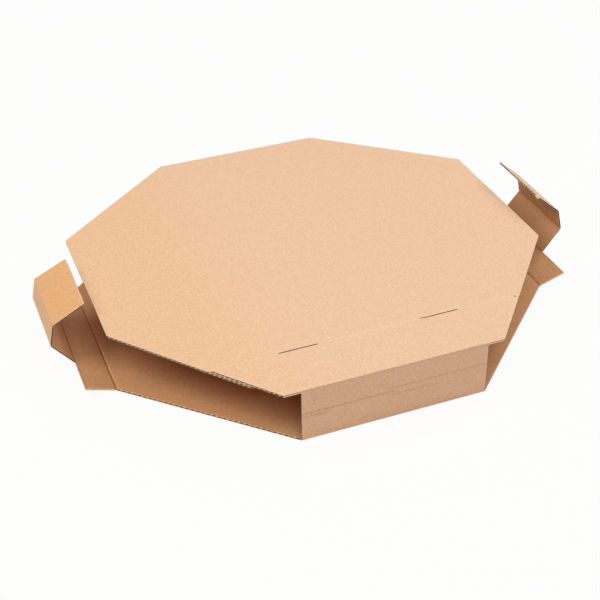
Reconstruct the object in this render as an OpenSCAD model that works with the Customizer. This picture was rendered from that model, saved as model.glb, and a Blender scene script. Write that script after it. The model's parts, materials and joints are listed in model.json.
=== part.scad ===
// Octagonal carry box for a paella pan, folded from one sheet of fluted board.
// X runs along the front wall, Y towards the rear wall, Z up from the table.
// The flutes run along X, so the folded sheet is one YZ section drawn out along X.

/* [Board] */
// Thickness of the fluted board
board_t = 2; // [1.2:0.1:2.4]
// Thickness of each liner, the flat paper on both sides of the flutes
liner_t = 0.25; // [0.2:0.05:0.4]
// Distance from one flute to the next
flute_pitch = 3.4; // [3:0.1:5]
// Thickness of the waved paper between the liners
medium_t = 0.2; // [0.15:0.05:0.3]
// Width over which a flute's crest is stuck to its liner
crest_w = 0.3; // [0.2:0.1:0.8]
// Outer radius of the bends between the panels
bend_r = 1.1; // [0.5:0.1:1.6]
// Gap left along a fold that hinges
fold_gap = 0.3; // [0.2:0.05:0.5]

/* [Box] */
// Width between the two side folds
box_w = 400; // [340:5:500]
// Depth between the front and rear walls
box_d = 390; // [330:5:500]
// Height of the closed box
box_h = 50; // [40:1:80]
// Width of the front wall and of the rear wall
wall_w = 160; // [120:5:180]
// Depth of the base's corner cuts, front and rear
base_corner_d = 117; // [80:1:120]

/* [Lid] */
// Width of the lid at the front edge
lid_front_w = 189; // [180:1:220]
// Depth of the lid's front corner cuts
lid_front_corner_d = 128; // [100:1:135]
// Depth of the lid's rear corner cuts
lid_rear_corner_d = 105; // [80:1:120]
// Distance from the front edge to the end of the lid's tongue under the front flap
tongue_start = 22; // [10:1:30]

/* [Front flap] */
// Depth of the front flap on top of the lid
flap_d = 51; // [44:1:70]
// Clearance between the front flap and the lid under it
flap_lift = 0.2; // [0.1:0.05:0.4]
// Width of each lock tab
tab_w = 34; // [20:1:40]
// Distance between the middles of the two lock tabs
tab_spacing = 125; // [90:1:130]
// How far each lock tab reaches down from the top of the flap
tab_reach = 8.6; // [6:0.2:9]
// Chamfer on the lower corners of a lock tab
tab_chamfer = 3; // [1:0.5:5]
// Gap between a lock tab and the rear edge of its slot
slot_gap = 3.4; // [1:0.1:5]
// Gap between a lock tab and the other edges of its slot
slot_clear = 0.4; // [0.3:0.05:0.8]

/* [Side flaps] */
// Width of the wall panel, from its fold on the base
wall_panel_w = 26.2; // [20:0.2:30]
// Width of the ledge panel, the second
ledge_panel_w = 28.6; // [24:0.2:34]
// Width of the return panel, the third
return_panel_w = 19.8; // [16:0.2:22]
// Width of the tuck panel, the last
tuck_panel_w = 32.1; // [24:0.2:34]
// Length of the ledge panel at its fold on the wall panel
roll_l = 78; // [50:1:110]
// How much shorter each later panel is at its far edge
roll_taper = 1.2; // [0:0.1:4]
// Radius of the tuck panels' outer corners
corner_r = 1.5; // [0.5:0.5:4]

/* [Folds at rest] */
// Angle of the wall panels above the table
wall_panel_angle = 17.7; // [0:0.1:40]
// Bend between the wall and ledge panels
ledge_bend = 33.5; // [0:0.5:45]
// Bend between the ledge and return panels
return_bend = 51; // [0:0.5:60]
// Bend between the return and tuck panels, on the left
left_tuck_bend = 51.4; // [0:0.5:60]
// Bend between the return and tuck panels, on the right
right_tuck_bend = 36.9; // [0:0.5:60]

/* [Creases] */
// Height of the highest crease line across the front and rear walls
crease_z = 29.8; // [20:0.1:34]
// Width of a crease line
crease_w = 0.9; // [0.4:0.1:1.5]
// Depth of a crease line
crease_d = 0.15; // [0.05:0.05:0.15]

/* [Hidden] */

KRAFT = "#DDB48C";
$fn = 48;
EPS = 0.01;
OVER = 1;

lid_top = box_h - board_t - flap_lift;
tongue_y = -box_d / 2 + tongue_start;
flap_rear_y = -box_d / 2 + flap_d;
base_side_y = box_d / 2 - base_corner_d;

// Spans of the crease along X as shares of the wall, each with how many flutes lower it runs
CREASE_RUNS = [
    [-0.5, -0.37, 2],
    [-0.38, -0.03, 1],
    [-0.04, 0.22, 2],
    [0, 0.5, 0]
];

// Plan of the base, with equal corner cuts at the front and rear
function base_outline() = [
    [-wall_w / 2, -box_d / 2],
    [wall_w / 2, -box_d / 2],
    [box_w / 2, -base_side_y],
    [box_w / 2, base_side_y],
    [wall_w / 2, box_d / 2],
    [-wall_w / 2, box_d / 2],
    [-box_w / 2, base_side_y],
    [-box_w / 2, -base_side_y]
];

// Plan of the lid and of the front flap on it
function lid_outline() = [
    [-lid_front_w / 2, -box_d / 2],
    [lid_front_w / 2, -box_d / 2],
    [box_w / 2, -box_d / 2 + lid_front_corner_d],
    [box_w / 2, box_d / 2 - lid_rear_corner_d],
    [wall_w / 2, box_d / 2],
    [-wall_w / 2, box_d / 2],
    [-box_w / 2, box_d / 2 - lid_rear_corner_d],
    [-box_w / 2, -box_d / 2 + lid_front_corner_d]
];

// The hollows beside the waved paper, as triangles of [along the board, across it]
// Each flute has a hollow under one liner and, half a pitch on, one over the other liner
function flute_hollows(from, to) =
    let (
        count = floor((to - from) / flute_pitch - 0.5),
        start = (from + to - (count - 0.5) * flute_pitch) / 2,
        half = (flute_pitch - crest_w) / 2,
        low = liner_t,
        high = board_t - liner_t
    )
    [
        for (i = [0:count - 1])
            let (near = start + i * flute_pitch, far = near + flute_pitch / 2)
            each [
                [[near - half, high], [near + half, high], [near, low + medium_t]],
                [[far - half, low], [far, high - medium_t], [far + half, low]]
            ]
    ];

// The hollows of a board that starts at the origin and has one face at y = 0
module flute_section(from, to) {
    hollows = flute_hollows(from, to);
    polygon(
        [for (hollow = hollows) each hollow],
        [for (i = [0:len(hollows) - 1]) [3 * i, 3 * i + 1, 3 * i + 2]]
    );
}

// Draws a YZ section out along X, centred
module along_x(width) {
    rotate([90, 0, 90])
        translate([0, 0, -width / 2])
            linear_extrude(width)
                children();
}

// The waste outside a rounded corner at the origin, with the solid towards +X and +Y
module corner_waste(r) {
    difference() {
        translate([-OVER, -OVER])
            square(r + OVER);
        translate([r, r])
            circle(r);
    }
}

// YZ section of base, walls and lid, its front wall bevelled for the front flap's hinge
// The flutes are crushed flat in the bends, and open at the end of the lid's tongue
module shell_section() {
    front = -box_d / 2;
    wall_top = box_h - fold_gap / 2;
    lid_d = box_d / 2 - tongue_y;
    difference() {
        union() {
            translate([front, 0])
                square([box_d, board_t]);
            translate([box_d / 2 - board_t, 0])
                square([board_t, lid_top]);
            translate([tongue_y, lid_top - board_t])
                square([box_d / 2 - tongue_y, board_t]);
            polygon([
                [front, 0],
                [front + board_t, 0],
                [front + board_t, wall_top - board_t],
                [front, wall_top]
            ]);
        }
        translate([front, 0])
            corner_waste(bend_r);
        translate([box_d / 2, 0])
            mirror([1, 0])
                corner_waste(bend_r);
        translate([box_d / 2, lid_top])
            rotate(180)
                corner_waste(bend_r);
        translate([front, 0])
            flute_section(board_t, box_d - board_t);
        translate([tongue_y, lid_top - board_t])
            flute_section(-flute_pitch, lid_d - board_t);
        translate([front + board_t, 0])
            rotate(90)
                flute_section(board_t, wall_top - board_t);
        translate([box_d / 2, 0])
            rotate(90)
                flute_section(board_t, lid_top - board_t);
    }
}

// Room above a plan outline between two heights
module plan_room(low, high) {
    translate([0, 0, low])
        linear_extrude(high - low)
            children();
}

// A V groove along X on the outer face at y = 0, the board lying towards +Y
module crease_groove(from_x, to_x, z) {
    translate([(from_x + to_x) / 2, 0, z])
        along_x(to_x - from_x)
            polygon([
                [-EPS, crease_w / 2],
                [crease_d, 0],
                [-EPS, -crease_w / 2]
            ]);
}

// The crease half way up a wall, which jumps from one flute valley to the next
module wall_crease() {
    for (run = CREASE_RUNS)
        crease_groove(
            max(run[0] * wall_w, -wall_w / 2 - OVER),
            min(run[1] * wall_w, wall_w / 2 + OVER),
            crease_z - run[2] * flute_pitch
        );
}

// The wedge that a board loses along a fold, so that the panel beyond the fold can rise
// Its face leans back at 45 degrees, as the bevel of the next panel does
module fold_wedge(fold_x, length) {
    edge = fold_x - fold_gap / 2;
    translate([0, length / 2, 0])
        rotate([90, 0, 0])
            linear_extrude(length)
                polygon([
                    [edge + EPS, -EPS],
                    [edge - board_t - EPS, board_t + EPS],
                    [fold_x + OVER, board_t + EPS],
                    [fold_x + OVER, -EPS]
                ]);
}

// A slot through the lid for one lock tab
module tab_slot() {
    slot_d = board_t + slot_clear + slot_gap;
    translate([-tab_w / 2 - slot_clear, flap_rear_y - board_t - slot_clear, lid_top - board_t - OVER])
        cube([tab_w + 2 * slot_clear, slot_d, board_t + 2 * OVER]);
}

// Base, front wall, rear wall and lid, one folded piece
module shell() {
    color(KRAFT)
        difference() {
            intersection() {
                along_x(box_w)
                    shell_section();
                union() {
                    plan_room(-OVER, board_t)
                        polygon(base_outline());
                    plan_room(0, box_h + OVER)
                        square([wall_w, box_d + OVER], center = true);
                    plan_room(lid_top - board_t, lid_top + OVER)
                        intersection() {
                            polygon(lid_outline());
                            translate([-box_w / 2, tongue_y])
                                square([box_w, box_d]);
                        }
                }
            }
            for (side = [0, 1])
                mirror([side, 0, 0])
                    fold_wedge(box_w / 2, 2 * (base_side_y + OVER));
            for (side = [-1, 1])
                translate([side * tab_spacing / 2, 0, 0])
                    tab_slot();
            translate([0, -box_d / 2, 0])
                wall_crease();
            translate([0, box_d / 2, 0])
                rotate(180)
                    wall_crease();
        }
}

// YZ section of the front flap's plate, its flutes open at both edges
module flap_section() {
    translate([-box_d / 2, box_h - board_t])
        difference() {
            square([flap_d, board_t]);
            flute_section(-flute_pitch, flap_d + flute_pitch);
        }
}

// The wedge that the front flap loses along its fold on the front wall
module front_fold_wedge() {
    edge = -box_d / 2 + fold_gap / 2;
    along_x(wall_w)
        polygon([
            [edge - EPS, box_h + EPS],
            [-box_d / 2 - OVER, box_h + EPS],
            [-box_d / 2 - OVER, box_h - board_t - EPS],
            [edge + board_t + EPS, box_h - board_t - EPS]
        ]);
}

// A lock tab, folded down from the rear edge of the front flap
module lock_tab() {
    low = box_h - tab_reach;
    intersection() {
        along_x(tab_w)
            difference() {
                translate([flap_rear_y - board_t, low])
                    square([board_t, tab_reach]);
                translate([flap_rear_y, low])
                    rotate(90)
                        flute_section(0, tab_reach - board_t);
            }
        translate([0, flap_rear_y + OVER, 0])
            rotate([90, 0, 0])
                linear_extrude(board_t + 2 * OVER)
                    polygon([
                        [-tab_w / 2, box_h],
                        [-tab_w / 2, low + tab_chamfer],
                        [-tab_w / 2 + tab_chamfer, low],
                        [tab_w / 2 - tab_chamfer, low],
                        [tab_w / 2, low + tab_chamfer],
                        [tab_w / 2, box_h]
                    ]);
    }
}

// The front flap, which lies on the lid's tongue and locks into it with two tabs
module front_flap() {
    color(KRAFT)
        difference() {
            union() {
                intersection() {
                    along_x(box_w)
                        flap_section();
                    plan_room(0, box_h + OVER)
                        polygon(lid_outline());
                }
                for (side = [-1, 1])
                    translate([side * tab_spacing / 2, 0, 0])
                        lock_tab();
            }
            front_fold_wedge();
            for (side = [-1, 1])
                translate([side * tab_spacing / 2, flap_rear_y, box_h])
                    along_x(tab_w)
                        rotate(180)
                            corner_waste(bend_r);
        }
}

// A panel lying flat from its near fold at x = 0 to its far edge, its outer face at z = 0
// The near edge is bevelled for its hinge, and the far edge as far as the next panel reaches
// Its flutes run from fold to fold, and are open at both ends of the panel
module flat_panel(width, near_l, far_l, next_l, rounded) {
    start = fold_gap / 2;
    difference() {
        intersection() {
            translate([width / 2, -near_l / 2, 0])
                along_x(width + 2 * OVER)
                    difference() {
                        square([near_l, board_t]);
                        flute_section(-flute_pitch, near_l + flute_pitch);
                    }
            translate([0, near_l / 2 + OVER, 0])
                rotate([90, 0, 0])
                    linear_extrude(near_l + 2 * OVER)
                        polygon([
                            [start, 0],
                            [start + board_t, board_t],
                            [width, board_t],
                            [width, 0]
                        ]);
            plan_room(-OVER, board_t + OVER)
                difference() {
                    polygon([
                        [-OVER, -near_l / 2],
                        [-OVER, near_l / 2],
                        [0, near_l / 2],
                        [width, far_l / 2],
                        [width, -far_l / 2],
                        [0, -near_l / 2]
                    ]);
                    if (rounded)
                        for (side = [0, 1])
                            mirror([0, side])
                                translate([width, far_l / 2])
                                    rotate(180)
                                        corner_waste(corner_r);
                }
        }
        if (next_l > 0)
            fold_wedge(width, next_l + fold_gap);
    }
}

// The angles of a flap's panels above the table, from the bends at rest
function panel_angles(tuck_bend) = [
    wall_panel_angle,
    wall_panel_angle + ledge_bend,
    wall_panel_angle + ledge_bend + return_bend,
    wall_panel_angle + ledge_bend + return_bend + tuck_bend
];

PANEL_WIDTHS = [wall_panel_w, ledge_panel_w, return_panel_w, tuck_panel_w];

// Where a panel's near fold lies, as [x, z] out from the middle of the box
function fold_place(index, angles) =
    index == 0
        ? [box_w / 2, 0]
        : fold_place(index - 1, angles)
            + PANEL_WIDTHS[index - 1] * [cos(angles[index - 1]), sin(angles[index - 1])];

// Sets a panel of the right flap in its place
module in_place(index, tuck_bend) {
    angles = panel_angles(tuck_bend);
    fold = fold_place(index, angles);
    translate([fold[0], 0, fold[1]])
        rotate([0, -angles[index], 0])
            children();
}

// How long a panel of a flap is at its near fold, the first being the ledge panel
function roll_length(index) = roll_l - index * roll_taper;

module wall_panel(tuck_bend) {
    in_place(0, tuck_bend)
        flat_panel(wall_panel_w, 2 * base_side_y, 2 * base_side_y, roll_length(0), false);
}

module ledge_panel(tuck_bend) {
    in_place(1, tuck_bend)
        flat_panel(ledge_panel_w, roll_length(0), roll_length(1), roll_length(1), false);
}

module return_panel(tuck_bend) {
    in_place(2, tuck_bend)
        flat_panel(return_panel_w, roll_length(1), roll_length(2), roll_length(2), false);
}

module tuck_panel(tuck_bend) {
    in_place(3, tuck_bend)
        flat_panel(tuck_panel_w, roll_length(2), roll_length(3), 0, true);
}

module on_left() {
    color(KRAFT)
        mirror([1, 0, 0])
            children();
}

module on_right() {
    color(KRAFT)
        children();
}

shell();
front_flap();
on_left() wall_panel(left_tuck_bend);  // left_wall_panel
on_left() ledge_panel(left_tuck_bend);  // left_ledge_panel
on_left() return_panel(left_tuck_bend);  // left_return_panel
on_left() tuck_panel(left_tuck_bend);  // left_tuck_panel
on_right() wall_panel(right_tuck_bend);  // right_wall_panel
on_right() ledge_panel(right_tuck_bend);  // right_ledge_panel
on_right() return_panel(right_tuck_bend);  // right_return_panel
on_right() tuck_panel(right_tuck_bend);  // right_tuck_panel
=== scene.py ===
"""Octagonal paella box, folded from one sheet of fluted kraft board, on a pale floor.

X runs along the front wall and along the flutes, Y towards the rear wall, Z up.
Every panel has its real layers: two flat liners and a waved paper between them.
"""

import json
import math

import bmesh
import bpy
from mathutils import Matrix, Vector
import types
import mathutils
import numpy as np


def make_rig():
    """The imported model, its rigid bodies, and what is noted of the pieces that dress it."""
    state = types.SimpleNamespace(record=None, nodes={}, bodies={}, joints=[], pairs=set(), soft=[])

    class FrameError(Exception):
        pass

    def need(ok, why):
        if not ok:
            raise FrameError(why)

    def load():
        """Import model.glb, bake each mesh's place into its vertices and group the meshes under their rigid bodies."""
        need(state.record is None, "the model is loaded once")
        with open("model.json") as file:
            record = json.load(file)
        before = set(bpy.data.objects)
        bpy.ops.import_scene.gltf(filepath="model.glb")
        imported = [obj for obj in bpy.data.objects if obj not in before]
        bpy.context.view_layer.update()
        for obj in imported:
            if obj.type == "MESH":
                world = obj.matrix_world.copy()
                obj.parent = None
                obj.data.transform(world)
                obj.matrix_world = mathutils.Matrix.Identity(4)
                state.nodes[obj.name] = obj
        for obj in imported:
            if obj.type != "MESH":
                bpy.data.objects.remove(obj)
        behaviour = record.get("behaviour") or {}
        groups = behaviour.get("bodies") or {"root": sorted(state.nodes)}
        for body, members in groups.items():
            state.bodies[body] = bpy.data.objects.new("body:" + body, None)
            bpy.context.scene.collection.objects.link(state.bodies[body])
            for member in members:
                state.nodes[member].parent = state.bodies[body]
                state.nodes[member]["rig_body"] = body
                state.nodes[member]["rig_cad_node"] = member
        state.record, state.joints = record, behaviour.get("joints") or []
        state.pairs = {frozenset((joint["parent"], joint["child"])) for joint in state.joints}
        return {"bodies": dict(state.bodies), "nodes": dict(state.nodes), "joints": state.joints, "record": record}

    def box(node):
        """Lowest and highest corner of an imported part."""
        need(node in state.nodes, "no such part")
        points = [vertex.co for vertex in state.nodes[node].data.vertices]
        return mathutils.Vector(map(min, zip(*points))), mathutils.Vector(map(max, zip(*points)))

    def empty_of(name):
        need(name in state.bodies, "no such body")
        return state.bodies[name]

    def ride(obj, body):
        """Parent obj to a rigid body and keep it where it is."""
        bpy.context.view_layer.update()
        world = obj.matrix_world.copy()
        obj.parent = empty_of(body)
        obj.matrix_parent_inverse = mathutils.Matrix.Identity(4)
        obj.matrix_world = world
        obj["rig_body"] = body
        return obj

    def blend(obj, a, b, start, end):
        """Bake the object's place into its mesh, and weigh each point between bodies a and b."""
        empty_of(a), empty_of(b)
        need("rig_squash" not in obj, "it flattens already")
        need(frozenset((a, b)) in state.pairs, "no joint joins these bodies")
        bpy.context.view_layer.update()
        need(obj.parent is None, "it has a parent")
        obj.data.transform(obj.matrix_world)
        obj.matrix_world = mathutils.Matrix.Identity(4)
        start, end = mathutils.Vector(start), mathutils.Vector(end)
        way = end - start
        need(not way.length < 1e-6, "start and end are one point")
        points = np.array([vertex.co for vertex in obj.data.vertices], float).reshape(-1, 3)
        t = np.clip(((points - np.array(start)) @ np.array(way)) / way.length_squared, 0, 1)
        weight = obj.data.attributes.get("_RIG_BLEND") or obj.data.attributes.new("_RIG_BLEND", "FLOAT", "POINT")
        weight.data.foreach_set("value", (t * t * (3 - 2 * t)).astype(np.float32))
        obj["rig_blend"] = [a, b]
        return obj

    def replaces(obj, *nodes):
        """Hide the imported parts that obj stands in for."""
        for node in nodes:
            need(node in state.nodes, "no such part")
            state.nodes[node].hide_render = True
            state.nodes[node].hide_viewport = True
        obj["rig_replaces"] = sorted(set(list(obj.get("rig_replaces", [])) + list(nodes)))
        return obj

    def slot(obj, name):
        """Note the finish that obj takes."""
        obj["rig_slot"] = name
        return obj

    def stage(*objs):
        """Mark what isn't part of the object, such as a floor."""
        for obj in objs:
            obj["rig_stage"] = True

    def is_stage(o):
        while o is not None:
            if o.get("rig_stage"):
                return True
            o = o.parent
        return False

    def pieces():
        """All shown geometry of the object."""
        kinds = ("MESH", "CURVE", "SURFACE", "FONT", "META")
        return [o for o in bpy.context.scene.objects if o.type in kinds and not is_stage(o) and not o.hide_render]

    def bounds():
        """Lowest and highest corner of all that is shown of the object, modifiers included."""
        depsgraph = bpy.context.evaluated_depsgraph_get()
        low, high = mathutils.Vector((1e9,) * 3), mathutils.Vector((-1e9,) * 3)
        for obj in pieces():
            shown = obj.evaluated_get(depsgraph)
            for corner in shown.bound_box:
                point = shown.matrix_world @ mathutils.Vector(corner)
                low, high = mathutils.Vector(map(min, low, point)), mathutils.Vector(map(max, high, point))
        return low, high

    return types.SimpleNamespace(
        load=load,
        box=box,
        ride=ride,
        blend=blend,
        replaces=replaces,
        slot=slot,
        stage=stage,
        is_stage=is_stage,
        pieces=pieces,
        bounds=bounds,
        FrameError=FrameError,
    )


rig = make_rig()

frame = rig.load()
CAD_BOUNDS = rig.bounds()
JOINTS = {joint["name"]: joint for joint in frame["joints"]}
X_AXIS, Y_AXIS, Z_AXIS = Vector((1, 0, 0)), Vector((0, 1, 0)), Vector((0, 0, 1))
MM = 0.001

# Camera, solved from the box's corners in the photograph
VIEW_AZIMUTH = math.radians(20.555)
VIEW_ELEVATION = math.radians(34.78)
VIEW_ROLL = math.radians(-1.13)
CAMERA_AT = Vector((-0.3342, -0.8731, 0.6372))
SENSOR = 36.0
LENS = 73.49
NEAREST, FARTHEST = 0.05, 20

# Light and floor
# Each soft box: name, azimuth from +X and elevation in degrees, and power
LIGHTS = (
    ("left", 180, 50, 11.6),
    ("front_left", 225, 50, 3.8),
    ("front", 270, 50, 7.5),
    ("right", 0, 50, 13.3),
    ("back", 90, 22, 6.5),
    ("top", 90, 90, 3.1),
)
LIGHT_SIZE = 1.0
LIGHT_DISTANCE = 1.8
FLOOR_COLOUR = (0.92, 0.85, 0.81, 1)
# How much of the floor the camera sees as plain white, the rest showing the shadow:
# this much near the box, and all of it from the second distance outwards
FLOOR_WHITE = 0.93
FLOOR_NEAR, FLOOR_FAR = 0.5, 1.6
FLOOR_HALF = 20.0
FLOOR_DROP = 0.3 * MM
FLOOR_ROUGHNESS = 0.9

# Board
BOARD = 2.0 * MM
# The side flaps, whose flutes the folding has crushed
SIDE_BOARD = 1.5 * MM
LINER = 0.25 * MM
MEDIUM = 0.2 * MM
PITCH = 3.4 * MM
WAVE_STEPS = 10
# How flat the crests of the waved paper lie on the liners
CREST = 1.25
BEND = 1.1 * MM
INNER_BEND = 0.4 * MM
# Worn rim of a cut edge: its width, and how far it slopes down
RIM_W = 0.35 * MM
RIM_DROP = 0.08 * MM
# Extra thickness of the waved paper where it is glued to the inner liner
GLUE = 0.85 * MM
# Half the length of the strip of outer liner that bends at a hinged fold
FOLD = 1.2 * MM
# How near the base's and the lid's flutes come to the folds of the walls
CORNER_GAP = 1.2 * MM
# Room left between the two liners where a fold has crushed the flutes
CRUSHED = 0.15 * MM

# Sizes that the frame's boxes give
HALF_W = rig.box("shell")[1].x
HALF_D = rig.box("shell")[1].y
FLAP_LOW, FLAP_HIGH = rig.box("front_flap")
BOX_H = FLAP_HIGH.z
FLAP_REAR = FLAP_HIGH.y
SIDE_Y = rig.box("left_wall_panel")[1].y

# Sizes that the frame's boxes don't give
FLAP_LIFT = 0.2 * MM
LID_TOP = BOX_H - BOARD - FLAP_LIFT
WALL_HALF_W = 80 * MM
LID_FRONT_HALF_W = 94.5 * MM
LID_FRONT_CORNER_D = 128 * MM
LID_REAR_CORNER_D = 105 * MM
TONGUE = -HALF_D + 22 * MM
TAB_W = 34 * MM
TAB_SPACING = 125 * MM
TAB_CHAMFER = 3 * MM
SLOT_GAP = 3.4 * MM
SLOT_CLEAR = 0.4 * MM
TUCK_W = 32.1 * MM
TUCK_TAPER = 1.2 * MM
CORNER_R = 1.5 * MM
# The torn lump at the front corner of the right tuck panel's free edge: its place
# back from that edge and along Y, and half its size each way
BUMP_BACK = 0.4 * MM
BUMP_Y = -36.6 * MM
BUMP_SIZE = (1.8 * MM, 2.5 * MM, 1.4 * MM)
# How uneven the lump is along its section, and along Y
BUMP_UNEVEN = (0.28, 0.15)
# How far the flutes draw back from the side flaps' cut ends, which show as dark hollows
DRAWN_BACK = 1.4 * MM
# How far the worn lip along the left fold reaches from its front end
WORN_LIP_END = -25 * MM
# How far the lid bows up between its rear fold and the front flap
LID_BOW = 1.5 * MM
# Smallest distance that counts
EDGE = 0.01 * MM
# How squarely a neighbouring edge has to run inwards for a worn rim to follow it
RIM_FOLLOWS = 0.3
# How narrow the glue lines are, and the angle from which an edge is drawn sharp
GLUE_POWER = 1.5
SHARP = math.radians(35)

# How steeply the base's corners are cut off, along Y for each step along X
CORNER_SLOPE = (HALF_D - SIDE_Y) / (HALF_W - WALL_HALF_W)
# Flat place of each corner fold along the sheet: front, rear, and rear top
FRONT_FOLD, REAR_FOLD, TOP_FOLD = -HALF_D, HALF_D, HALF_D + LID_TOP
# Points of the liners: across the shell, round a corner, along the base and the lid's bow,
# round a small arc, and round a hinged fold's outer liner
COLUMNS = 32
CORNER_STEPS = 8
BASE_STEPS = 6
BOW_STEPS = 16
ARC_STEPS = 6
STRIP_STEPS = 8

# The creases half way up the walls: from and to along X, height, and tone of the painted shade along each
CREASES = (
    (-80 * MM, -60 * MM, 23.0 * MM, 0.76),
    (-80 * MM, -5 * MM, 26.4 * MM, 0.76),
    (-5 * MM, 35 * MM, 23.0 * MM, 0.87),
    (0 * MM, 80 * MM, 29.8 * MM, 0.76),
)
# Each crease's rows: height above its line, and how far the liner stands out there
CREASE_ROWS = (
    (-3.0 * MM, 0),
    (-0.3 * MM, -0.22 * MM),
    (0.35 * MM, 0.26 * MM),
    (1.6 * MM, 0),
)

# Paints by index; the faces inside the board, round its hollows, are painted dark as the shade that falls there
OUTER, INNER, HOLLOW_SHADE, CUT, OUTER_RIM, INNER_RIM = range(6)


def rim_shifts(points, edges, rims, others):
    """How far inwards each point of the rims moves, to leave room for the worn rim."""
    inward = {}
    for a, b in rims:
        face = [points[i] for i in edges[(a, b)]]
        normal = Vector()
        for p, q in zip(face, face[1:] + face[:1]):
            normal += p.cross(q)
        inward[(a, b)] = normal.cross(points[b] - points[a]).normalized()
    shifts = {}
    for spot in sorted({spot for edge in rims for spot in edge}):
        normals = [inward[edge] for edge in rims if spot in edge]
        if len(normals) == 2:
            shifts[spot] = (normals[0] + normals[1]) * (RIM_W / (1 + normals[0].dot(normals[1])))
            continue
        shifts[spot] = normals[0] * RIM_W
        for edge in others:
            if spot in edge:
                other = edge[0] if edge[1] == spot else edge[1]
                along = (points[other] - points[spot]).normalized()
                if along.dot(normals[0]) > RIM_FOLLOWS:
                    shifts[spot] = along * (RIM_W / along.dot(normals[0]))
    return shifts


class Board:
    """Collects the layers of paper of one piece: points, their place on the flat sheet, and faces."""

    def __init__(self):
        self.points, self.flat, self.faces, self.paints = [], [], [], []

    def layer(self, near, far, flat, faces, paint, joined=lambda a, b: False):
        """A layer of paper between two like sets of points, its borders closed by cut edges.

        joined tells which border edges meet another piece, and so have no worn rim.
        """
        start, count = len(self.points), len(near)
        edges = {(a, b): face for face in faces for a, b in zip(face, face[1:] + face[:1])}
        border = sorted(edge for edge in edges if edge[::-1] not in edges)
        rims = [edge for edge in border if paint in (OUTER, INNER) and not joined(*edge)]
        lowered = {}
        near = list(near)
        shifts = rim_shifts(near, edges, rims, [edge for edge in border if edge not in rims])
        self.points += near + far
        self.flat += flat + flat
        for spot, shift in shifts.items():
            lowered[spot] = len(self.points)
            self.points.append(near[spot] + (far[spot] - near[spot]).normalized() * RIM_DROP)
            self.flat.append(flat[spot])
            self.points[start + spot] = near[spot] + shift
        for face in faces:
            self.faces.append([start + i for i in face])
            self.paints.append(paint)
            self.faces.append([start + count + i for i in reversed(face)])
            self.paints.append(HOLLOW_SHADE)
        for a, b in border:
            low_a, low_b = lowered.get(a, start + a), lowered.get(b, start + b)
            # Rims take the rim paints, lighter than the faces as painted highlight along the edges
            if (a, b) in rims:
                self.faces.append([start + b, start + a, low_a, low_b])
                self.paints.append(OUTER_RIM if paint == OUTER else INNER_RIM)
                self.faces.append([low_b, low_a, start + count + a, start + count + b])
            else:
                ring = [start + b, start + a, low_a, start + count + a, start + count + b, low_b]
                self.faces.append([v for i, v in enumerate(ring) if v != ring[i - 1]])
            self.paints.append(CUT)

    def ribbon(self, stops, across, sides, depth, flat, paint, ends=(False, False)):
        """A sheet of paper through stops, each (point, inward), ruled along across at the sides given.

        depth is one thickness or one a stop, and ends tells which ends meet another piece.
        """
        depths = depth if isinstance(depth, list) else [depth] * len(stops)
        near, far, uv = [], [], []
        for stop, (point, inward) in enumerate(stops):
            for side in sides[stop]:
                near.append(point + across * side)
                far.append(point + across * side + inward * depths[stop])
                uv.append(flat(stop, side))
        width = len(sides[0])
        faces = [
            [i * width + j, i * width + j + 1, (i + 1) * width + j + 1, (i + 1) * width + j]
            for i in range(len(stops) - 1)
            for j in range(width - 1)
        ]
        met = [row for row, end in zip((0, len(stops) - 1), ends) if end]
        self.layer(near, far, uv, faces, paint, lambda a, b: a // width == b // width in met)

    def plate(self, outline, place, low, high, flat, paint, joined):
        """A flat sheet of paper of that outline, its painted face at low."""
        self.layer(
            [place(u, v, low) for u, v in outline],
            [place(u, v, high) for u, v in outline],
            [flat(u, v) for u, v in outline],
            [list(range(len(outline)))],
            paint,
            lambda a, b: joined(outline[a], outline[b]),
        )

    def make(self, name):
        """The finished object, its faces turned outwards."""
        data = bpy.data.meshes.new(name)
        data.from_pydata(self.points, [], self.faces)
        for paint in PAINTS:
            data.materials.append(paint)
        data.polygons.foreach_set("material_index", self.paints)
        sheet = data.uv_layers.new(name="sheet")
        corners = [self.flat[loop.vertex_index] for loop in data.loops]
        sheet.data.foreach_set("uv", [value for corner in corners for value in corner])
        shape = bmesh.new()
        shape.from_mesh(data)
        loose = [v for v in shape.verts if not v.link_faces]
        bmesh.ops.delete(shape, geom=loose, context="VERTS")
        bmesh.ops.recalc_face_normals(shape, faces=shape.faces)
        shape.to_mesh(data)
        shape.free()
        for polygon in data.polygons:
            polygon.use_smooth = True
        data.set_sharp_from_angle(angle=SHARP)
        obj = bpy.data.objects.new(name, data)
        bpy.context.scene.collection.objects.link(obj)
        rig.slot(obj, "kraft_board")
        return obj


def wave(v, board=BOARD):
    """Depth of the middle of the waved paper below the board's outer face."""
    swing = (board - 2 * LINER - MEDIUM) / 2
    rise = CREST * math.cos(2 * math.pi * v / PITCH)
    return board / 2 + swing * max(-1, min(1, rise))


def glue(v, board=BOARD):
    """How much thicker the waved paper is at a place on the sheet."""
    return GLUE * board / BOARD * max(0, math.cos(2 * math.pi * v / PITCH)) ** GLUE_POWER


def spread(start, end, count):
    """Evenly spaced values from start to end."""
    return [start + (end - start) * i / count for i in range(count + 1)]


def wave_rows(start, end):
    """Rows that follow the flutes closely between two places on the sheet."""
    return spread(start, end, max(2, round((end - start) / PITCH * WAVE_STEPS)))


def base_half_w(y):
    """Half the base's width."""
    corner_d = HALF_D - SIDE_Y
    share = min(1, (HALF_D - abs(y)) / corner_d)
    return WALL_HALF_W + (HALF_W - WALL_HALF_W) * share


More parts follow.
